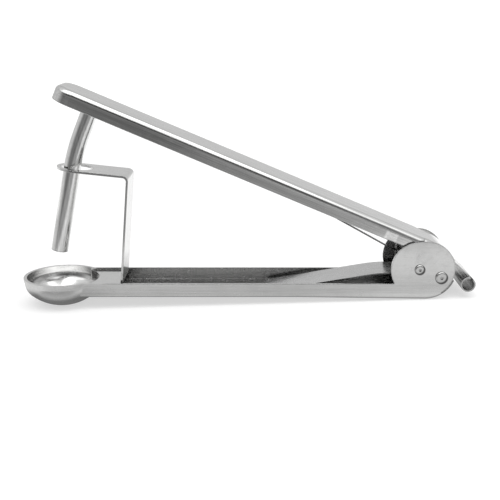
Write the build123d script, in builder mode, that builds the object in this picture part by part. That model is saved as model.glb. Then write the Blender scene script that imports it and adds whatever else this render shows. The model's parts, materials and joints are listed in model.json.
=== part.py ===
from build123d import *
import os
from math import acos, asin, atan2, cos, degrees, pi, radians, sin, sqrt, tan

# A hand cherry pitter pressed from stainless sheet, in millimetres, +Z up, standing open at rest.
# The origin is on the ground, under the middle of the tool's length. +X runs from the fruit cup
# to the pivot, and the tool is symmetric about the plane y = 0.
# Side profiles are drawn about the pivot: first coordinate +X, second +Z.

# Base arm: an upturned channel with a round cup at its front end and two ears at its rear
base_width = 22.8
base_sheet = 0.9
wall_height = 5.55
wall_drop = 5.6          # from the pivot down to the top of the side walls
floor_edge_radius = 1.0
ear_radius = 10.93
ear_stretch = 2.6        # the ear is a disc drawn out this far to the rear
floor_fall_start = 46.0  # the floor slopes down to pass under the ears from here to the rear
lip_end_angle = -23.0    # the floor curls up round the ears as far as this angle
lip_free_angle = -56.0   # from here on the curled lip stands free of the ears
lip_slit = 0.3
lip_slit_end = 5.0       # degrees that the slit runs on past the lip's end

# Fruit cup
cup_reach = 138.45       # from the pivot forward to the middle of the cup
cup_radius = 14.9
cup_depth = 11.4
cup_side = 2.0           # height of the straight part below the rim
cup_corner = 5.8
rim_proud = 0.35
rim_band = 1.1           # height of the band that stands proud round the rim
pit_hole_radius = 4.8

# Lever arm: a downturned channel with round shoulders
lever_angle = 22.9       # above the ground when open
lever_travel = 10.0      # how far it closes
lever_width = 22.4
lever_sheet = 0.9
lever_top = 11.5         # outer face of the web, above the line through the pivot
lever_side_height = 5.7
lever_round = 2.2        # outer radius of the bends between the web and the sides
shoulder_height = 2.3    # the web and its shoulders keep their full width over the neck
shoulder_end = 3.0       # from the pivot along the lever
nose_overhang = 13.55    # the nose reaches this far past the middle of the cup
nose_corner_radius = 7.0
neck_start = 17.5        # from the pivot along the lever to where the sides draw in
neck_run = 4.0
neck_bend_radius = 5.0
side_clearance = 0.3     # between the ears and the lever's cheeks, and between cheeks and latch
ear_gap = 0.2            # between the ears' round tops and the shoulders above them
boss_radius = 6.0
tail_radius = 14.8
tail_set_back = 2.3      # the tail's arc starts this far behind the pivot
tail_wrap = 39.0         # degrees

# Punch tube: its root stands square on the lever's web, and below a bend it leans back to meet the cup
punch_set_back = 0.5     # of the root, along the lever, behind the middle of the cup
punch_diameter = 6.4
punch_wall = 0.6
punch_root_length = 21.9  # from the web down to the corner of the bend
punch_bend = 11.4        # degrees
punch_bend_radius = 80.0
punch_tip_length = 39.2  # from the corner of the bend to the tip
punch_edge = 0.35        # inner bevel that sharpens the tip

# Guide bracket
bracket_width = 17.9
bracket_sheet = 0.8
bracket_set_back = 24.55  # from the middle of the cup back to the foot of the riser
bracket_lean = 3.75      # the riser leans this far towards the pivot
bracket_height = 42.65   # from the foot to the corner
bracket_top_length = 28.15
bracket_top_rise = 3.0
bracket_bend = 2.2
foot_bend = 1.4
foot_inset = 0.8         # of the foot plate below the tops of the side walls
foot_corner = 3.5
eye_radius = 6.1
eye_set_back = 7.5       # from the tip of the top plate to the middle of the eye

# Leaf spring
spring_sheet = 0.5
spring_side_gap = 0.45   # on each side, between the spring and the lock's cheeks
spring_gap = 0.2         # between the sleeve and the spring's bend
lower_leg_reach = 59.0
lower_knee_reach = 14.2
lower_knee_drop = 2.6
lower_knee_radius = 60.0
upper_leg_reach = 80.0
upper_knee_reach = 9.2
upper_knee_rise = 5.7
finger_width = 1.6       # to which the upper leg narrows
finger_set_back = 7.0    # from the pivot forward to where it has narrowed
finger_run = 6.0
upper_knee_radius = 20.0
spring_corner = 4.0
spring_touch_gap = 0.04

# Rivets, sleeves and washers
rivet_radius = 1.5
pivot_head_radius = 2.0
latch_head_radius = 2.4
head_height = 0.85
head_round = 0.6         # radius round the top of the head
dimple_radius = 0.55
dimple_depth = 0.25
rivet_fit = 0.02         # radial, in the ears
running_gap = 0.06       # radial, where a part turns or slides on a rivet
sleeve_wall = 0.5
spacer_wall = 0.8
washer_radius = 4.0
face_gap = 0.02

# Lock at the tail: it is pulled out to lock and runs on both rivets
latch_rivet_back = 8.4
latch_rivet_drop = 3.2
latch_travel = 2.6
latch_sheet = 0.6
roll_back = 18.8
roll_drop = 6.0
roll_radius = 2.85
roll_wrap = 335.0        # degrees of its turn
tongue_half_width = 5.0
window_margin = 0.4
catch_bar = 0.75         # height of the strip below the window in the lever's tail
tongue_reach = 12.0
hook_back = 9.2
latch_web_top = 2.2      # also the radius of the cheeks' round front end
latch_web_reach = 14.0
latch_bend = 1.2
latch_margin = 0.4       # round the lock's cheeks where the floor's lip is notched

# Sizes that follow
tail_reach = roll_back + roll_radius
pivot_x = (cup_reach + cup_radius + rim_proud - tail_reach) / 2
nose_reach = cup_reach + nose_overhang
punch_reach = cup_reach - punch_set_back
bracket_foot = cup_reach - bracket_set_back
base_half = base_width / 2
inner_half = base_half - base_sheet
cheek_half = inner_half - side_clearance
lever_half = lever_width / 2
latch_half = cheek_half - lever_sheet - side_clearance
latch_inner_half = latch_half - latch_sheet
spring_width = 2 * (latch_inner_half - spring_side_gap)
floor_drop = wall_drop + wall_height
floor_top_drop = floor_drop - base_sheet
lip_radius = ear_radius + base_sheet
lever_bottom = lever_top - lever_side_height
inner_top = lever_top - lever_sheet
tail_centre_w = lever_top - tail_radius
sleeve_radius = rivet_radius + running_gap + sleeve_wall
cup_inner_radius = cup_radius - base_sheet
punch_outer = punch_diameter / 2
punch_corner = Vector(punch_reach, inner_top - punch_root_length)
punch_tip = punch_corner + Vector(0, -punch_tip_length).rotate(Axis.Z, -punch_bend)
pit_hole_reach = sqrt(punch_tip.length**2 - (wall_drop + cup_depth - base_sheet / 2) ** 2)
cup_flat = cup_radius - cup_corner
cup_low = cup_depth - cup_side
cup_crown = (cup_flat**2 + cup_low**2 - cup_corner**2) / (2 * (cup_low - cup_corner))
cup_hole_edge = pit_hole_radius - abs(cup_reach - pit_hole_reach)
pivot_z = wall_drop + cup_depth - (cup_crown - sqrt(cup_crown**2 - cup_hole_edge**2))
pivot = Vector(pivot_x, 0, pivot_z)

lever_cos = cos(radians(lever_angle))
lever_sin = sin(radians(lever_angle))

# Working planes
side = Plane(origin=pivot, x_dir=(1, 0, 0), z_dir=(0, -1, 0))
lever_side = Plane(origin=pivot, x_dir=(-lever_cos, 0, lever_sin), z_dir=(0, 1, 0))
lever_plan = Plane(origin=pivot, x_dir=(-lever_cos, 0, lever_sin), z_dir=(lever_sin, 0, lever_cos))
lever_cross = Plane(origin=pivot, x_dir=(0, -1, 0), z_dir=(-lever_cos, 0, lever_sin))

deep = 60.0              # longer than any cut needs to be

os.makedirs("parts", exist_ok=True)


def save(built, name):
    """Label a finished piece and write it out."""
    built.part.label = name
    export_step(built.part, f"parts/{name}.step")


def cup_profile(inset):
    """Draw half of the cup's section, from the rim to the axis, set in from the outer face."""
    rim = cup_radius - inset
    crown_z = cup_crown - cup_depth
    turn = degrees(atan2(crown_z + cup_side, cup_flat))
    with BuildLine() as section:
        straight = Line((rim, 0), (rim, -cup_side))
        CenterArc((cup_flat, -cup_side), cup_corner - inset, 0, -turn)
        bowl = CenterArc((0, crown_z), cup_crown - inset, -turn, turn - 90)
        Polyline(bowl @ 1, (0, 0), straight @ 0)
    make_face(section.edges())


def floor_line(drop):
    """Return the corners of the floor's underside, or of its top for a smaller drop."""
    rear_drop = ear_radius + drop - floor_top_drop
    return [(-cup_reach, -drop), (-floor_fall_start, -drop), (ear_stretch, -rear_drop)]


# Base arm
cup_plane = Plane(origin=(pivot_x - cup_reach, 0, pivot_z - wall_drop), x_dir=(1, 0, 0), z_dir=(0, -1, 0))
cup_axis = Axis((pivot_x - cup_reach, 0, 0), (0, 0, 1))


def trough(drop, curl_radius, half_width, edge_radius):
    """Build a block with rounded edges whose underside is the floor, curling up round the ears."""
    with BuildPart() as block:
        with BuildSketch(side) as outline:
            with BuildLine() as edge:
                floor = Polyline(floor_line(drop))
                curl = CenterArc((ear_stretch, 0), curl_radius, -90, 90)
                Polyline(curl @ 1, (ear_stretch + curl_radius, deep), (-cup_reach, deep), floor @ 0)
            make_face(edge.edges())
        extrude(outline.sketch, amount=half_width, both=True)
        sides = block.faces().filter_by(Axis.Y)
        upright = sides.edges().filter_by(Axis.Z)
        low = sides.edges().filter_by(lambda e: e.center().Z < pivot_z - wall_drop / 2)
        fillet(low - upright, edge_radius)
    return block.part


with BuildPart() as cup_void:
    with BuildSketch(cup_plane):
        cup_profile(base_sheet)
    revolve(axis=cup_axis)

outer_trough = trough(floor_drop, lip_radius, base_half, floor_edge_radius)
inner_trough = trough(floor_top_drop, ear_radius, inner_half, floor_edge_radius - base_sheet)
latch_rivet_at = Vector(latch_rivet_back, -latch_rivet_drop)
latch_reach = latch_rivet_at - Vector(ear_stretch - latch_travel, 0)
latch_clear = latch_web_top + latch_margin
notch_turn = acos(
    (latch_reach.length**2 + ear_radius**2 - latch_clear**2) / (2 * latch_reach.length * ear_radius)
)
notch_start = degrees(atan2(latch_reach.Y, latch_reach.X) - notch_turn)

with BuildPart() as base_arm:
    add(outer_trough)
    with BuildSketch(side):
        with BuildLine():
            floor = Polyline(floor_line(floor_drop))
            curl = CenterArc((ear_stretch, 0), lip_radius, -90, 90 + lip_end_angle)
            PolarLine(curl @ 1, -base_sheet, lip_end_angle)
            rear = CenterArc((ear_stretch, 0), ear_radius, lip_end_angle, 90 - lip_end_angle)
            Line(rear @ 1, (0, ear_radius))
            front = CenterArc((0, 0), ear_radius, 90, 90 + degrees(asin(wall_drop / ear_radius)))
            Polyline(front @ 1, (-cup_reach, -wall_drop), floor @ 0)
        make_face()
    extrude(amount=base_width, both=True, mode=Mode.INTERSECT)
    with BuildSketch(cup_plane):
        cup_profile(0)
    revolve(axis=cup_axis)
    with BuildSketch(cup_plane):
        rim = cup_radius + rim_proud
        Polygon((cup_flat, 0), (rim, 0), (rim, -rim_band), (cup_flat, -cup_side), align=None)
    revolve(axis=cup_axis)
    add(inner_trough, mode=Mode.SUBTRACT)
    add(cup_void.part, mode=Mode.SUBTRACT)
    with BuildSketch(Plane.XY.offset(-cup_side)):
        with Locations((pivot_x - pit_hole_reach, 0)):
            Circle(pit_hole_radius)
    extrude(amount=cup_depth, mode=Mode.SUBTRACT)
    with BuildSketch(side):
        with Locations((0, 0), latch_rivet_at):
            Circle(rivet_radius + rivet_fit)
    extrude(amount=base_width, both=True, mode=Mode.SUBTRACT)
    with BuildSketch(side):
        with BuildLine():
            notch = PolarLine((ear_stretch, 0), lip_radius * 2, notch_start)
            Polyline(notch @ 1, (notch @ 1) + Vector(0, lip_radius * 2), (ear_stretch, 0))
        make_face()
    extrude(amount=latch_half + latch_margin, both=True, mode=Mode.SUBTRACT)
    for outward in (1, -1):
        with BuildSketch(side.offset(inner_half * outward)):
            with BuildLine():
                slit_radius = ear_radius + lip_slit / 2
                slit_turn = lip_end_angle + lip_slit_end - lip_free_angle
                slit = CenterArc((ear_stretch, 0), slit_radius, lip_free_angle, slit_turn)
            SlotArc(slit, lip_slit)
        extrude(amount=base_sheet * outward, mode=Mode.SUBTRACT)
save(base_arm, "base_arm")


# Lever arm
tail_centre = Vector(-tail_set_back, tail_centre_w)


def lever_form(inset):
    """Build the lever's solid form, set in from its outer faces, with round shoulders and tail."""
    front = nose_reach - inset
    main = lever_half - inset
    neck = cheek_half - inset
    top = lever_top - inset
    radius = tail_radius - inset
    half_outline = [(front, main), (neck_start, main), (neck_start - neck_run, neck), (-deep, neck)]
    with BuildPart() as form:
        with BuildSketch(lever_plan.offset(-deep)) as plan:
            with BuildLine() as edge:
                upper = Polyline(half_outline)
                mirror(upper, about=Plane.XZ)
                Line((front, main), (front, -main))
                Line((-deep, neck), (-deep, -neck))
            make_face(edge.edges())
            fillet(plan.vertices().filter_by(lambda v: v.X > front - 0.01), nose_corner_radius - inset)
            fillet(plan.vertices().filter_by(lambda v: 0 < v.X < neck_start + 0.01), neck_bend_radius)
        extrude(plan.sketch, amount=deep + top)
        with BuildSketch(lever_side) as outline:
            with Locations((-tail_set_back, top)):
                Rectangle(nose_reach * 2, top + deep, align=(Align.MIN, Align.MAX))
            with Locations(tail_centre):
                Circle(radius)
        extrude(outline.sketch, amount=lever_width, both=True, mode=Mode.INTERSECT)
        straight = form.edges().filter_by(
            lambda e: abs(lever_plan.to_local_coords(e.center()).Z - top) < 0.01
            and (abs(e.center().Y) > 1 or lever_plan.to_local_coords(e.center()).X > nose_reach / 2)
        )
        curved = form.edges().filter_by(GeomType.CIRCLE).filter_by(
            lambda e: abs(e.radius - radius) < 0.01 and abs(e.normal().Y) > 0.9
        )
        fillet(straight + curved, lever_round - inset)
    return form.part


tail_end = 90 + tail_wrap
window_end = tail_end - degrees(catch_bar / tail_radius)


def swing(angle, reach, turn):
    """Return where a point on the tail's arc stands when the lever has closed by a turn."""
    on_arc = tail_centre + Vector(reach, 0).rotate(Axis.Z, angle)
    return Vector(-on_arc.X, on_arc.Y).rotate(Axis.Z, turn - lever_angle)


bar_top = swing(window_end, tail_radius, 0).Y
bar_bottom = swing(tail_end, tail_radius - lever_sheet, lever_travel).Y
tongue_top = (bar_top + bar_bottom + latch_sheet) / 2
tail_centre_z = swing(0, 0, 0).Y
window_rise = degrees(asin((tongue_top + window_margin - tail_centre_z) / (tail_radius - lever_sheet)))
window_start = 180 - lever_angle - window_rise
spacer_radius = rivet_radius + spacer_wall
relief_turn = degrees(atan2(latch_rivet_drop, latch_rivet_back))
lever_solid = lever_form(0)
lever_hollow = lever_form(lever_sheet)

with BuildPart() as lever_arm:
    add(lever_solid)
    with BuildSketch(lever_side):
        with BuildLine():
            CenterArc((0, 0), boss_radius, 0, 360)
            CenterArc(tail_centre, tail_radius, 90, tail_wrap)
            Line((neck_start / 2, lever_bottom), (neck_start / 2, lever_top))
        make_hull()
        with Locations((-tail_set_back, lever_top)):
            Rectangle(nose_reach * 2, lever_side_height, align=(Align.MIN, Align.MAX))
    extrude(amount=lever_width, both=True, mode=Mode.INTERSECT)
    with BuildSketch(lever_cross.offset(shoulder_end)) as shoulders:
        with Locations((0, lever_top)):
            Rectangle(lever_width, shoulder_height, align=(Align.CENTER, Align.MAX))
        fillet(shoulders.vertices().sort_by(Axis.Y)[-2:], lever_round)
    extrude(amount=neck_start - shoulder_end + lever_sheet)
    add(lever_hollow, mode=Mode.SUBTRACT)
    for outward in (1, -1):
        with BuildSketch(side.offset(cheek_half * outward)):
            Circle(ear_radius + ear_gap)
        extrude(amount=lever_sheet * 2 * outward, mode=Mode.SUBTRACT)
    with BuildSketch(side):
        Circle(rivet_radius + running_gap)
        with BuildLine():
            relief = CenterArc((0, 0), latch_rivet_at.length, -relief_turn, -lever_travel)
        SlotArc(relief, 2 * (spacer_radius + side_clearance))
    extrude(amount=lever_width, both=True, mode=Mode.SUBTRACT)
    with BuildSketch(lever_side):
        with BuildLine():
            near = PolarLine(tail_centre, tail_radius * 2, window_start)
            far = PolarLine(tail_centre, tail_radius * 2, window_end)
            Line(near @ 1, far @ 1)
        make_face()
    extrude(amount=tongue_half_width + window_margin, both=True, mode=Mode.SUBTRACT)
save(lever_arm, "lever_arm")

# Punch tube
with BuildLine() as punch_line:
    bend_top = punch_corner + Vector(0, punch_bend_radius * tan(radians(punch_bend / 2)))
    Line((punch_reach, inner_top), bend_top)
    bend = CenterArc(bend_top - Vector(punch_bend_radius, 0), punch_bend_radius, 0, -punch_bend)
    Line(bend @ 1, punch_tip)
with BuildPart() as punch_tube:
    with BuildSketch(lever_plan.offset(inner_top)):
        with Locations((punch_reach, 0)):
            Circle(punch_outer)
            Circle(punch_outer - punch_wall, mode=Mode.SUBTRACT)
    sweep(path=lever_side.location * Wire(punch_line.edges()))
    bore_length = 2 * pi * (punch_outer - punch_wall)
    bore = punch_tube.edges().filter_by(lambda e: abs(e.length - bore_length) < 0.01)
    chamfer(bore.sort_by(Axis.Z)[0], punch_edge)
save(punch_tube, "punch_tube")

# Guide bracket: a foot plate that completes the cup's rim, a riser and a top plate with a round eye
foot_drop = wall_drop + foot_inset
riser_foot = Vector(-bracket_foot, -(foot_drop + bracket_sheet))
bracket_corner = riser_foot + Vector(bracket_lean, bracket_height)
bracket_tip = bracket_corner + Vector(-bracket_top_length, bracket_top_rise)
foot_front = Vector(-cup_reach + cup_inner_radius / 2, riser_foot.Y)
top_tilt = degrees(atan2(bracket_top_rise, bracket_top_length))
top_face = Plane(
    origin=pivot + Vector(bracket_tip.X, 0, bracket_tip.Y),
    x_dir=(cos(radians(top_tilt)), 0, -sin(radians(top_tilt))),
    z_dir=(sin(radians(top_tilt)), 0, cos(radians(top_tilt))),
)
cup_seat = Plane(origin=(pivot_x - cup_reach, 0, pivot_z - floor_top_drop))
with BuildPart() as guide_bracket:
    with BuildSketch(cup_seat):
        Circle(cup_inner_radius + bracket_sheet)
        Rectangle(cup_radius, base_width, align=(Align.MIN, Align.CENTER), mode=Mode.INTERSECT)
    extrude(amount=floor_top_drop - foot_drop)
    with BuildSketch(cup_seat.offset(floor_top_drop - foot_drop)) as foot:
        foot_length = cup_reach - bracket_foot - foot_bend
        Rectangle(foot_length, inner_half * 2, align=(Align.MIN, Align.CENTER))
        fillet(foot.vertices().sort_by(Axis.X)[-2:], foot_corner)
    extrude(amount=-bracket_sheet)
    add(inner_trough, mode=Mode.INTERSECT)
    with BuildSketch(side):
        with BuildLine():
            strip = FilletPolyline(
                foot_front, riser_foot, bracket_corner, bracket_tip, radius=[foot_bend, bracket_bend]
            )
            offset(strip, amount=bracket_sheet, side=Side.LEFT)
        make_face()
    extrude(amount=bracket_width / 2, both=True)
    with BuildSketch(cup_seat):
        Circle(cup_inner_radius)
    extrude(amount=floor_top_drop, mode=Mode.SUBTRACT)
    with BuildSketch(top_face):
        with Locations((bracket_width / 2, 0)):
            Rectangle(bracket_width, bracket_width * 2, align=(Align.MAX, Align.CENTER))
            Circle(bracket_width / 2, mode=Mode.SUBTRACT)
        with Locations((eye_set_back, 0)):
            Circle(eye_radius)
    extrude(amount=-bracket_sheet * 2, mode=Mode.SUBTRACT)
save(guide_bracket, "guide_bracket")

# Leaf spring: one strip bent round the pivot's sleeve, its lower leg wide and its upper one a finger
bend_outer = sleeve_radius + spring_gap + spring_sheet
touch_w = inner_top - spring_touch_gap
upper_tip = Vector(-upper_leg_reach, (upper_leg_reach * lever_sin + touch_w) / lever_cos)
lower_tip = Vector(-lower_leg_reach, spring_touch_gap - floor_top_drop)
upper_knee = Vector(-upper_knee_reach, upper_knee_rise)
lower_knee = Vector(-lower_knee_reach, -lower_knee_drop)
upper_leave = degrees(atan2(upper_knee.Y, upper_knee.X) - acos(bend_outer / upper_knee.length))
lower_leave = degrees(atan2(lower_knee.Y, lower_knee.X) + acos(bend_outer / lower_knee.length))
with BuildPart() as leaf_spring:
    with BuildSketch(side):
        with BuildLine():
            bend = CenterArc((0, 0), bend_outer, lower_leave, upper_leave - lower_leave)
            FilletPolyline(lower_tip, lower_knee, bend @ 0, radius=lower_knee_radius)
            FilletPolyline(bend @ 1, upper_knee, upper_tip, radius=upper_knee_radius)
            offset(amount=spring_sheet, side=Side.LEFT)
        make_face()
    extrude(amount=spring_width / 2, both=True)
    tips = leaf_spring.edges().filter_by(lambda e: abs(e.length - spring_sheet) < 0.01)
    fillet(tips, spring_corner)
    with BuildSketch(Plane.XY.offset(pivot_z)):
        Polygon(
            (pivot_x - finger_set_back + finger_run, base_half),
            (pivot_x - finger_set_back, finger_width / 2),
            (pivot_x - nose_reach, finger_width / 2),
            (pivot_x - nose_reach, base_half),
            align=None,
        )
        mirror(about=Plane.XZ)
    extrude(amount=deep, mode=Mode.SUBTRACT)
save(leaf_spring, "leaf_spring")


def rings(name, at, outer_radius, spans):
    """Build rings round a rivet, one for each span of distances from the middle plane."""
    with BuildPart() as built:
        for near, far in spans:
            with BuildSketch(side.offset(near)) as section:
                with Locations(at):
                    Circle(outer_radius)
                    Circle(rivet_radius + running_gap, mode=Mode.SUBTRACT)
            extrude(section.sketch, amount=far - near)
    save(built, name)


def rivet(name, at, head_radius):
    """Build a rivet through both ears, with a round-edged head and a small dimple at each end."""
    head_top = base_half + head_height
    centre = Vector(head_radius - head_round, head_top - head_round)
    with BuildPart() as built:
        with BuildSketch(Plane(origin=pivot + Vector(at.X, 0, at.Y))) as section:
            with BuildLine() as edge:
                Polyline((0, 0), (rivet_radius, 0), (rivet_radius, base_half), (head_radius, base_half))
                Line((head_radius, base_half), (head_radius, centre.Y))
                shoulder = CenterArc(centre, head_round, 0, 90)
                Polyline(shoulder @ 1, (dimple_radius, head_top), (0, head_top - dimple_depth), (0, 0))
            make_face(edge.edges())
        revolve(section.sketch, axis=Axis(pivot + Vector(at.X, 0, at.Y), (0, 1, 0)))
        mirror(about=Plane.XZ)
    save(built, name)


sleeve_half = latch_inner_half - face_gap
washer_far = inner_half - face_gap
washer_near = cheek_half + face_gap
spacer_near = latch_half + face_gap
washer_spans = [(washer_near, washer_far), (-washer_far, -washer_near)]
spacer_spans = [(spacer_near, washer_far), (-washer_far, -spacer_near)]
rivet("pivot_rivet", Vector(0, 0), pivot_head_radius)
rivet("latch_rivet", latch_rivet_at, latch_head_radius)
rings("pivot_sleeve", (0, 0), sleeve_radius, [(-sleeve_half, sleeve_half)])
rings("latch_sleeve", latch_rivet_at, spacer_radius, [(-sleeve_half, sleeve_half)])
rings("thrust_washers", (0, 0), washer_radius, washer_spans)
rings("latch_spacers", latch_rivet_at, spacer_radius, spacer_spans)

# Lock slide: two slotted cheeks, a web that slopes down to a rolled grip, and a hooked tongue
roll_at = Vector(roll_back, -roll_drop)
web_end = Vector(latch_web_reach, latch_web_top)
to_roll = roll_at - web_end
slope_turn = degrees(atan2(to_roll.Y, to_roll.X) + asin(roll_radius / to_roll.length))
slope_length = sqrt(to_roll.length**2 - roll_radius**2)
slope_end = web_end + Vector(slope_length, 0).rotate(Axis.Z, slope_turn)
hook_bottom = latch_web_top - latch_sheet
cheek_end = Vector(hook_back + latch_web_top * 2, latch_web_top)
with BuildPart() as latch_slide:
    with BuildSketch(side):
        with BuildLine():
            slope = FilletPolyline((hook_back, latch_web_top), web_end, slope_end, radius=latch_bend)
            offset(slope, amount=latch_sheet, side=Side.RIGHT)
        make_face()
    extrude(amount=latch_half, both=True)
    with BuildSketch(side):
        with BuildLine():
            roll = CenterArc(roll_at, roll_radius, slope_turn + 90, -roll_wrap)
            offset(roll, amount=latch_sheet, side=Side.RIGHT)
        make_face()
    extrude(amount=base_half, both=True)
    with BuildSketch(side):
        with BuildLine():
            hook_top = (hook_back, tongue_top)
            hook = FilletPolyline(
                (tongue_reach, tongue_top), hook_top, (hook_back, hook_bottom), radius=latch_bend
            )
            offset(hook, amount=latch_sheet, side=Side.LEFT)
        make_face()
    extrude(amount=tongue_half_width, both=True)
    for near in (latch_inner_half, -latch_half):
        with BuildSketch(side.offset(near)):
            with BuildLine():
                CenterArc((-latch_travel, 0), latch_web_top, 0, 360)
                CenterArc(latch_rivet_at, latch_web_top, 0, 360)
                Line((hook_back, latch_web_top), cheek_end)
            make_hull()
            for pin in (Vector(0, 0), latch_rivet_at):
                with Locations(pin - Vector(latch_travel / 2, 0)):
                    SlotCenterToCenter(latch_travel, 2 * (rivet_radius + running_gap), mode=Mode.SUBTRACT)
        extrude(amount=latch_sheet)
save(latch_slide, "latch_slide")
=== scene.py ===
import json
from math import atan2, cos, pi, radians, sin

import bmesh
import bpy
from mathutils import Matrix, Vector


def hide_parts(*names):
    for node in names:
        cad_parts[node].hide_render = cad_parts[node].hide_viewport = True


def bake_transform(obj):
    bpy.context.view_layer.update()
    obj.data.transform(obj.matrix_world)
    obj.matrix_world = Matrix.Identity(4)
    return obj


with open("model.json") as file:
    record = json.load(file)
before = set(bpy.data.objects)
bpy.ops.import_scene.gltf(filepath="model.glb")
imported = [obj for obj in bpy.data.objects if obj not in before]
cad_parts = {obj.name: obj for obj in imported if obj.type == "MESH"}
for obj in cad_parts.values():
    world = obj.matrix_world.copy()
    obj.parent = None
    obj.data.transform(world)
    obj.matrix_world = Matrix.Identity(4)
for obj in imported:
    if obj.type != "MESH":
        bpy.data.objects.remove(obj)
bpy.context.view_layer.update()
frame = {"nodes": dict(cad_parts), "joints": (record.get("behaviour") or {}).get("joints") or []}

# Metres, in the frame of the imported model: +X from the fruit cup to the pivot, +Z up.
MM = 0.001
WHITE = (1, 1, 1, 1)
nodes = frame["nodes"]
hinge = next(j for j in frame["joints"] if j["name"] == "lever_pivot")
pivot = Vector(hinge["pos_m"])


# Node helpers. A level is a number or another node's output.
def new_material(name):
    """Start an empty node material and return it with its tree."""
    material = bpy.data.materials.new(name)
    material.use_nodes = True
    material.node_tree.nodes.clear()
    return material, material.node_tree


def put(tree, kind, settings=None, **inputs):
    """Add a node with its settings and inputs, i0 being the first input and From_Min the one named From Min."""
    node = tree.nodes.new(kind)
    for key, value in (settings or {}).items():
        setattr(node, key, value)
    for key, value in inputs.items():
        socket = node.inputs[int(key[1:])] if key[1:].isdigit() else node.inputs[key.replace("_", " ")]
        if isinstance(value, bpy.types.NodeSocket):
            tree.links.new(value, socket)
        else:
            socket.default_value = value
    return node


def calc(tree, operation, a, b=0.0):
    """Return the output of one math node."""
    return put(tree, "ShaderNodeMath", {"operation": operation}, i0=a, i1=b).outputs[0]


def times(tree, product, *levels):
    """Return the product of all the levels."""
    for level in levels:
        product = calc(tree, "MULTIPLY", product, level)
    return product


def vector_calc(tree, operation, a, b):
    """Return the outputs of one vector math node."""
    return put(tree, "ShaderNodeVectorMath", {"operation": operation}, i0=a, i1=b).outputs


def axes(tree, vector):
    """Return the outputs X, Y and Z of a vector."""
    return put(tree, "ShaderNodeSeparateXYZ", i0=vector).outputs


def spread(tree, level, low, high, to_low=0, to_high=1, shape="SMOOTHSTEP"):
    """Return a level mapped from one range onto another and clamped, smoothly unless the shape says otherwise."""
    return put(tree, "ShaderNodeMapRange", {"interpolation_type": shape}, Value=level, From_Min=low, From_Max=high,
               To_Min=to_low, To_Max=to_high).outputs["Result"]


def mixed(tree, factor, a, b, **settings):
    """Return a mix of two levels, or of two colours if the settings say so."""
    return put(tree, "ShaderNodeMix", settings, Factor=factor, A=a, B=b).outputs["Result"]


def noise(tree, place, scale, detail, roughness):
    """Return the level of a noise texture."""
    return put(tree, "ShaderNodeTexNoise", Vector=place, Scale=scale, Detail=detail,
               Roughness=roughness).outputs["Fac"]


# Brushed steel. A grain is its width across the brushing, its length along it and its detail.
FINE_GRAIN = (0.22 * MM, 14 * MM, 2.0)
COARSE_GRAIN = (0.9 * MM, 40 * MM, 1.0)
FINE_SHARE = 0.6
GRAIN_ROUGHNESS = 0.6
BLOTCHES = {"scale": 70.0, "detail": 3.0, "roughness": 0.55}
WEAR = {"scale": 420.0, "detail": 4.0, "roughness": 0.7}

# The colour: what the streaks add to the tint and take from it, and grey smudges over that
STREAK_LIGHT, STREAK_DARK = 0.12, 0.16
STREAK_TONES = (0.35, 0.65)
SMUDGE = (0.6, 0.6, 0.6, 1)
SMUDGE_TONES = (0.42, 0.7)
SMUDGE_MOST = 0.14

# The edges: near an edge a bevel's normal leans away from the face's, and a dark line of painted shade, standing in
# for the dark reflection on the edge's rounding, shows where the cosine between the two lies above the outer range
# and below the inner one. A side is cut where its normal lies this far along Y.
BEVEL_SAMPLES = 6
LINE_REACH = 0.6 * MM
LINE_OUTER = (0.8, 0.92)
LINE_INNER = (0.985, 0.999)
EDGE_SHADE_DARKNESS = 0.5
CUT_SIDE = (0.7, 0.95)

# The surface: how the roughness varies with the streaks and with wear, and how high the streaks stand
ROUGHNESS_TONES = (0.3, 0.7)
ROUGHNESS_SHARE = 0.2
WEAR_TONES = (0.45, 0.75)
WEAR_ROUGHNESS = 0.08
STREAK_BUMP = 0.2
STREAK_HEIGHT = 0.02 * MM

# The direction of the brushing, by its turn about Y from X
ALONG_LEVER = -radians(22.9)
UPRIGHT = pi / 2


def grained(tree, place, width, length, detail):
    """Return noise whose grains are so wide across X and so long along it."""
    scaled = put(tree, "ShaderNodeMapping", Vector=place, Scale=(1 / length, 1 / width, 1 / width))
    return noise(tree, scaled.outputs[0], 1.0, detail, GRAIN_ROUGHNESS)


def from_axis(tree, place, centre):
    """Return the distance in millimetres from a line along Y through a centre."""
    flat = vector_calc(tree, "MULTIPLY", place, (1 / MM, 0, 1 / MM))["Vector"]
    return vector_calc(tree, "DISTANCE", flat, (centre.x / MM, 0, centre.z / MM))["Value"]


def colour(tree, place, streaks, tint, grain):
    """Return the tint with streaks and smudges."""
    dark, light = (tuple(c * (1 + change * grain) for c in tint) + (1,) for change in (-STREAK_DARK, STREAK_LIGHT))
    tone = mixed(tree, spread(tree, streaks, *STREAK_TONES), dark, light, data_type="RGBA")
    smudged = spread(tree, noise(tree, place, **BLOTCHES), *SMUDGE_TONES, 0, SMUDGE_MOST)
    return mixed(tree, smudged, tone, SMUDGE, data_type="RGBA", blend_type="MULTIPLY")


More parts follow.
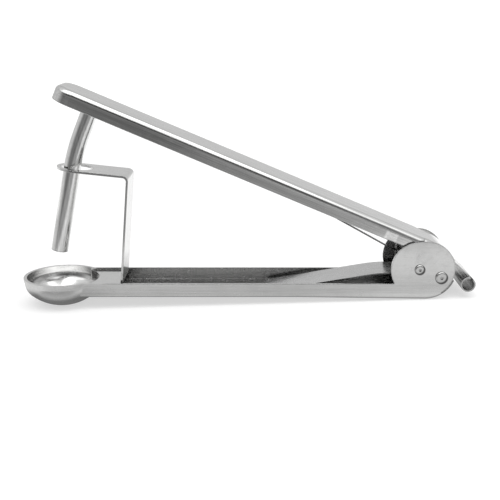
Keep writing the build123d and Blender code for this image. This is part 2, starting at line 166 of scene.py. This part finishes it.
def shade(tree, place, painted_shades, cut_left, edge_shade_from):
    """Return the factor that darkens the colour: painted shade along the edges and round given centres, and darker
    cut sides.
    """
    normal = put(tree, "ShaderNodeNewGeometry").outputs["Normal"]
    near_edge = put(tree, "ShaderNodeBevel", {"samples": BEVEL_SAMPLES}, Radius=LINE_REACH).outputs[0]
    lean = vector_calc(tree, "DOT_PRODUCT", near_edge, normal)["Value"]
    # Painted shade: a dark line near each edge, for the dark reflection on its rounding
    edge_shade = times(tree, spread(tree, lean, *LINE_OUTER), spread(tree, lean, *LINE_INNER, 1, 0))
    if edge_shade_from:
        edge_shade = times(tree, edge_shade, spread(tree, axes(tree, place)["X"], *edge_shade_from))
    left = calc(tree, "SUBTRACT", 1.0, times(tree, edge_shade, EDGE_SHADE_DARKNESS))
    if cut_left < 1:
        sideways = calc(tree, "ABSOLUTE", axes(tree, normal)["Y"])
        left = times(tree, left, spread(tree, sideways, *CUT_SIDE, 1, cut_left))
    # Painted shade round each given centre: the rivet heads and the grip's bore
    for centre, *ends in painted_shades:
        left = times(tree, left, spread(tree, from_axis(tree, place, centre), *ends))
    return left


def brushed_steel(name, tint, roughness, brushing=0.0, grain=1.0, anisotropy=0.55, edge=0.16, painted_shades=(),
                  cut_left=1.0, edge_shade_from=None):
    """Return brushed stainless steel.

    grain is the strength of the streaks, and edge the radius in millimetres that rounds the edges in the light.
    Each dark spot of painted shade is a centre, the distances in millimetres at which it starts and ends, and the
    factor at each.
    cut_left is what is left of the colour on sides that face along Y.
    The last argument is the range of X over which the dark lines of painted shade along the edges set in, where they
    don't run throughout.
    """
    material, tree = new_material(name)
    place = put(tree, "ShaderNodeTexCoord").outputs["Object"]
    along = put(tree, "ShaderNodeMapping", Vector=place, Rotation=(0, brushing, 0)).outputs[0]
    streaks = calc(tree, "ADD", times(tree, grained(tree, along, *FINE_GRAIN), FINE_SHARE),
                   times(tree, grained(tree, along, *COARSE_GRAIN), 1 - FINE_SHARE))
    shaded = put(tree, "ShaderNodeVectorMath", {"operation": "SCALE"}, i0=colour(tree, along, streaks, tint, grain),
                 Scale=shade(tree, place, painted_shades, cut_left, edge_shade_from))
    least, most = roughness * (1 - ROUGHNESS_SHARE), roughness * (1 + ROUGHNESS_SHARE)
    rough = calc(tree, "ADD", spread(tree, streaks, *ROUGHNESS_TONES, least, most),
                 spread(tree, noise(tree, along, **WEAR), *WEAR_TONES, 0, WEAR_ROUGHNESS))
    soft_edge = put(tree, "ShaderNodeBevel", {"samples": BEVEL_SAMPLES}, Radius=edge * MM)
    bump = put(tree, "ShaderNodeBump", Strength=STREAK_BUMP * grain * grain, Distance=STREAK_HEIGHT,
               Height=streaks, Normal=soft_edge.outputs[0])
    across = put(tree, "ShaderNodeCombineXYZ", X=0.0, Y=1.0, Z=0.0)
    tangent = put(tree, "ShaderNodeVectorTransform",
                  {"vector_type": "VECTOR", "convert_from": "OBJECT", "convert_to": "WORLD"}, i0=across.outputs[0])
    shader = put(tree, "ShaderNodeBsdfPrincipled", Metallic=1.0, Anisotropic=anisotropy, Base_Color=shaded.outputs[0],
                 Roughness=rough, Normal=bump.outputs[0], Tangent=tangent.outputs[0])
    put(tree, "ShaderNodeOutputMaterial", Surface=shader.outputs[0])
    return material


def middle(name):
    """Return the centre and the size of a node's box."""
    corners = [nodes[name].matrix_world @ v.co for v in nodes[name].data.vertices]
    low = Vector([min(c[i] for c in corners) for i in range(3)])
    high = Vector([max(c[i] for c in corners) for i in range(3)])
    return (low + high) / 2, high - low


# Painted shade: a dark ring on the ear round each rivet head, a dark crescent at the lower right of the head itself,
# and a darker bore in the rolled grip
RING_SHIFT = Vector((0.16, 0, -0.2)) * MM
GRIP_BORE = Vector((84.83, 0, 10.4)) * MM
ear_shade_rings, head_shades = [], {}
for name in ("pivot_rivet", "latch_rivet"):
    centre, size = middle(name)
    radius = size.x / 2 / MM
    ear_shade_rings.append((centre + RING_SHIFT, radius - 0.1, radius + 0.2, 0.45, 1))
    head_shades[name] = (centre - RING_SHIFT * 3, radius - 0.45, radius + 0.05, 1, 0.2)
bore_shade = (GRIP_BORE, 2.35, 2.6, 0.68, 1)

SHEET = (0.66, 0.66, 0.655)
# Along X, where the painted shade along the base arm's edges sets in
FRONT_OF_ARM = (-57 * MM, -52 * MM)
TURNED = {"grain": 0.4, "anisotropy": 0.0, "edge": 0.05}
steel = {
    "base_arm": brushed_steel("base_steel", SHEET, 0.2, grain=0.4, edge=0.07, painted_shades=ear_shade_rings,
                              edge_shade_from=FRONT_OF_ARM),
    "lever_arm": brushed_steel("lever_steel", SHEET, 0.11, brushing=ALONG_LEVER, edge=0.5),
    "guide_bracket": brushed_steel("bracket_steel", (0.68, 0.68, 0.675), 0.13, brushing=UPRIGHT, grain=0.5),
    "leaf_spring": brushed_steel("spring_steel", (0.66, 0.66, 0.66), 0.24, grain=0.6, cut_left=0.3),
    "punch_tube": brushed_steel("punch_steel", (0.74, 0.74, 0.735), 0.1, brushing=UPRIGHT, grain=0.8),
    "latch_slide": brushed_steel("latch_steel", SHEET, 0.2, brushing=ALONG_LEVER, grain=0.6, painted_shades=[bore_shade]),
    "sleeve": brushed_steel("sleeve_steel", SHEET, 0.16, **TURNED),
}
# Painted shade: a dark crescent at the lower right of each rivet head
for name, head_shade in head_shades.items():
    steel[name] = brushed_steel(name + "_steel", (0.58, 0.58, 0.575), 0.16, painted_shades=[head_shade], **TURNED)
for name, node in nodes.items():
    for holder in node.material_slots:
        holder.material = steel.get(name, steel["sleeve"])


# Stage: a pale floor and backdrop in one sweep, with the tool's cup and rear underside just above the floor
STAGE_FRONT, STAGE_BACK, STAGE_SIDE, STAGE_HEIGHT = -1.2, 1.6, 3.0, 2.0
STAGE_BEND = 0.5
BEND_STEPS = 12
FLOOR_GAP = 0.2 * MM
FLOOR_BACK = 0.3
STAGE_DIFFUSE = (0.5, 0.5, 0.5, 1)
GLOW_RANGE = (FLOOR_BACK, 1.0)
GLOW_LEVELS = (0.57, 0.8)

# Levels of the stage in reflections: by Y, more to the right, with one patch dimmer by the cup and one bright past
# it. The dim levels under the tool and the dim patch by the cup are painted shadow.
BRIGHTEST = 1.4
FLOOR_STOPS = [(-0.34, 0.25), (-0.24, 0.43), (-0.16, 0.42), (-0.125, 0.4), (-0.1, 0.7), (-0.08, 1.0),
               (-0.05, 0.86), (-0.035, 0.72), (-0.024, 0.66), (-0.016, 0.92), (-0.01, 0.34), (0.0, 0.25),
               (0.02, 0.45), (0.035, 0.75), (0.07, 1.2), (FLOOR_BACK, 1.2)]
BACKDROP_STOPS = [(FLOOR_BACK, 1.2), (0.9, 1.0), (1.3, 0.75), (STAGE_BACK, 0.68)]
RIGHTWARDS = (0, 0.07, 0.94, 1.07)
CUP_SHADOW = ((-0.065, -0.05), (-0.05, -0.025))
CUP_SHADOW_DIMMING = 0.25
PAST_CUP = ((-0.105, -0.085), (-0.1, -0.05))
PAST_CUP_LEVEL = 0.95

# Levels all round, by the degrees to the right of straight in front. The floor's set in with the distance.
ROUND_LEFT = [(-180, 1.0), (-110, 0.75), (-80, 0.7), (-50, 0.2)]
ROUND_RIGHT = [(45, 0.7), (75, 0.7), (110, 0.45), (180, 1.0)]
ROUND_STARTS = (0.28, 0.45)
FLOOR_FRONT = (0.18, 0.8)


def tone_along(tree, level, stops):
    """Return a level from stops, each a place and its level, from the lowest place to the highest."""
    low, high = stops[0][0], stops[-1][0]
    share = spread(tree, level, low, high, shape="LINEAR")
    ramp = put(tree, "ShaderNodeValToRGB", Fac=share)
    elements = ramp.color_ramp.elements
    while len(elements) < len(stops):
        elements.new(0.5)
    for element, (place, tone) in zip(elements, stops):
        element.position = (place - low) / (high - low)
        element.color = (tone / BRIGHTEST,) * 3 + (1,)
    return times(tree, ramp.outputs["Color"], BRIGHTEST)


def ring_tone(tree, x, y, front, front_right):
    """Return the level of the studio all round, with the levels straight in front and a little to the right."""
    angle = calc(tree, "DEGREES", calc(tree, "ARCTAN2", x, times(tree, y, -1.0)))
    ahead = [(-8, front), (10, front_right), (22, front_right)]
    return tone_along(tree, angle, ROUND_LEFT + ahead + ROUND_RIGHT)


def behind_left(tree, x, y, x_range, y_range):
    """Return a level that is 1 to the left of one range and behind another, and 0 elsewhere."""
    return times(tree, spread(tree, x, *x_range, 1, 0), spread(tree, y, *y_range))


def stage_tone(tree, x, y):
    """Return the stage's level in reflections: dim under and in front of the tool as painted shadow, and bright
    behind it.
    """
    near = times(tree, tone_along(tree, y, FLOOR_STOPS), spread(tree, x, *RIGHTWARDS))
    # Painted shadow: a dimmer patch of floor by the cup
    dimming = times(tree, behind_left(tree, x, y, *CUP_SHADOW), CUP_SHADOW_DIMMING)
    near = times(tree, near, calc(tree, "SUBTRACT", 1.0, dimming))
    near = mixed(tree, behind_left(tree, x, y, *PAST_CUP), near, PAST_CUP_LEVEL)
    away = calc(tree, "SQRT", calc(tree, "ADD", times(tree, x, x), times(tree, y, y)))
    floor = mixed(tree, spread(tree, away, *ROUND_STARTS), near, ring_tone(tree, x, y, *FLOOR_FRONT))
    backdrop = tone_along(tree, y, BACKDROP_STOPS)
    return mixed(tree, calc(tree, "GREATER_THAN", y, FLOOR_BACK), floor, backdrop)


def stage_material():
    """Return a white that keeps the shadow and has levels of its own in reflections."""
    material, tree = new_material("stage_white")
    paths = put(tree, "ShaderNodeLightPath").outputs
    place = axes(tree, put(tree, "ShaderNodeNewGeometry").outputs["Position"])
    mirrored = put(tree, "ShaderNodeEmission", Color=WHITE, Strength=stage_tone(tree, place["X"], place["Y"]))
    diffuse = put(tree, "ShaderNodeBsdfDiffuse", Color=STAGE_DIFFUSE)
    white = times(tree, paths["Is Camera Ray"], spread(tree, place["Y"], *GLOW_RANGE, *GLOW_LEVELS))
    glow = put(tree, "ShaderNodeEmission", Color=WHITE, Strength=white)
    seen = put(tree, "ShaderNodeAddShader", i0=diffuse.outputs[0], i1=glow.outputs[0])
    both = put(tree, "ShaderNodeMixShader", i0=paths["Is Glossy Ray"], i1=seen.outputs[0], i2=mirrored.outputs[0])
    put(tree, "ShaderNodeOutputMaterial", Surface=both.outputs[0])
    return material


def sweep_stage():
    """Build the floor, tilted to the tool's two resting points, and the backdrop that it sweeps up into."""
    start = STAGE_BACK - STAGE_BEND
    profile = [(STAGE_FRONT, 0.0), (start, 0.0)]
    for step in range(1, BEND_STEPS + 1):
        angle = pi / 2 * step / BEND_STEPS
        profile.append((start + STAGE_BEND * sin(angle), STAGE_BEND * (1 - cos(angle))))
    profile.append((STAGE_BACK, STAGE_HEIGHT))
    mesh = bmesh.new()
    rows = [[mesh.verts.new((x, y, z)) for x in (-STAGE_SIDE, STAGE_SIDE)] for y, z in profile]
    for lower, upper in zip(rows, rows[1:]):
        mesh.faces.new((lower[0], lower[1], upper[1], upper[0]))
    data = bpy.data.meshes.new("sweep")
    mesh.to_mesh(data)
    mesh.free()
    data.shade_smooth()
    data.materials.append(stage_material())
    sweep = bpy.data.objects.new("sweep", data)
    bpy.context.collection.objects.link(sweep)
    points = [node.matrix_world @ v.co for node in nodes.values() for v in node.data.vertices]
    cup_low = min(points, key=lambda p: p.z)
    tilt = min(atan2(p.z - cup_low.z, p.x - cup_low.x) for p in points if p.x > pivot.x)
    sweep.rotation_euler = (0, -tilt, 0)
    foot = Vector((cup_low.x, 0, 0))
    sweep.location = cup_low - sweep.rotation_euler.to_matrix() @ foot - Vector((0, cup_low.y, FLOOR_GAP))


sweep_stage()


# Light: an overhead softbox, and a world that glossy metal sees
SOFTBOX_PLACE = Vector((0.05, -0.12, 0.85))
SOFTBOX_SIZE = (0.9, 0.55)
SOFTBOX_POWER = 2.2

# The world's levels in front, low and half way up, and overhead from front to back. Heights are of a unit direction.
FRONT_LOW = (0.26, 0.26)
FRONT_HALFWAY = (0.05, 0.07)
HALFWAY_UP = (0.16, 0.34)
OVERHEAD_UP = (0.58, 0.7)
OVERHEAD_BACK = (-0.14, 0.0)
OVERHEAD_LEVELS = (1.6, 0.85)


def softbox():
    """Add a rectangular area light that points at the tool."""
    data = bpy.data.lights.new("overhead", "AREA")
    data.shape = "RECTANGLE"
    data.size, data.size_y = SOFTBOX_SIZE
    data.energy = SOFTBOX_POWER
    light = bpy.data.objects.new("overhead", data)
    light.location = SOFTBOX_PLACE
    light.rotation_euler = (-SOFTBOX_PLACE).to_track_quat("-Z", "Y").to_euler()
    bpy.context.collection.objects.link(light)


def studio_world():
    """Add soft studio surroundings: bright overhead and behind the tool, dim in front."""
    world = bpy.data.worlds.new("studio")
    bpy.context.scene.world = world
    world.use_nodes = True
    tree = world.node_tree
    tree.nodes.clear()
    x, y, z = axes(tree, put(tree, "ShaderNodeTexCoord").outputs["Generated"])
    low, halfway = (ring_tone(tree, x, y, *front) for front in (FRONT_LOW, FRONT_HALFWAY))
    around = mixed(tree, spread(tree, z, *HALFWAY_UP), low, halfway)
    overhead = spread(tree, y, *OVERHEAD_BACK, *OVERHEAD_LEVELS)
    level = mixed(tree, spread(tree, z, *OVERHEAD_UP), around, overhead)
    seen = mixed(tree, put(tree, "ShaderNodeLightPath").outputs["Is Camera Ray"], level, 1.0)
    background = put(tree, "ShaderNodeBackground", Color=WHITE, Strength=seen)
    put(tree, "ShaderNodeOutputWorld", Surface=background.outputs[0])


softbox()
studio_world()


# Camera at the photograph's place and angle
FOCAL_LENGTH, SENSOR_WIDTH = 63.144, 36.0
CAMERA_FROM_PIVOT = Vector((-64.7, -331.9, 94.3)) * MM
CAMERA_TILT = radians(74.9)

camera_data = bpy.data.cameras.new("camera")
camera_data.lens = FOCAL_LENGTH
camera_data.sensor_width = SENSOR_WIDTH
camera = bpy.data.objects.new("camera", camera_data)
camera.location = pivot + CAMERA_FROM_PIVOT
camera.rotation_euler = (CAMERA_TILT, 0, 0)
bpy.context.collection.objects.link(camera)
bpy.context.scene.camera = camera
bpy.context.scene.view_settings.view_transform = "Standard"


# Leaf spring: the strip bends at the pivot as the lever closes; a smooth copy of it stands for its rigid node
MERGE_DISTANCE = 0.001 * MM
FLAT_ANGLE, SHARP_ANGLE = radians(1), radians(30)


def bending_spring():
    """Copy the spring's strip as one smooth mesh in place of its node."""
    mesh = bmesh.new()
    mesh.from_mesh(nodes["leaf_spring"].data)
    bmesh.ops.remove_doubles(mesh, verts=mesh.verts, dist=MERGE_DISTANCE)
    bmesh.ops.dissolve_limit(mesh, angle_limit=FLAT_ANGLE, verts=mesh.verts, edges=mesh.edges)
    data = bpy.data.meshes.new("spring_strip")
    mesh.to_mesh(data)
    mesh.free()
    data.materials.append(steel["leaf_spring"])
    data.shade_smooth()
    data.set_sharp_from_angle(angle=SHARP_ANGLE)
    piece = bpy.data.objects.new("spring_strip", data)
    bpy.context.collection.objects.link(piece)
    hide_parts("leaf_spring")
    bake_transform(piece)


bending_spring()
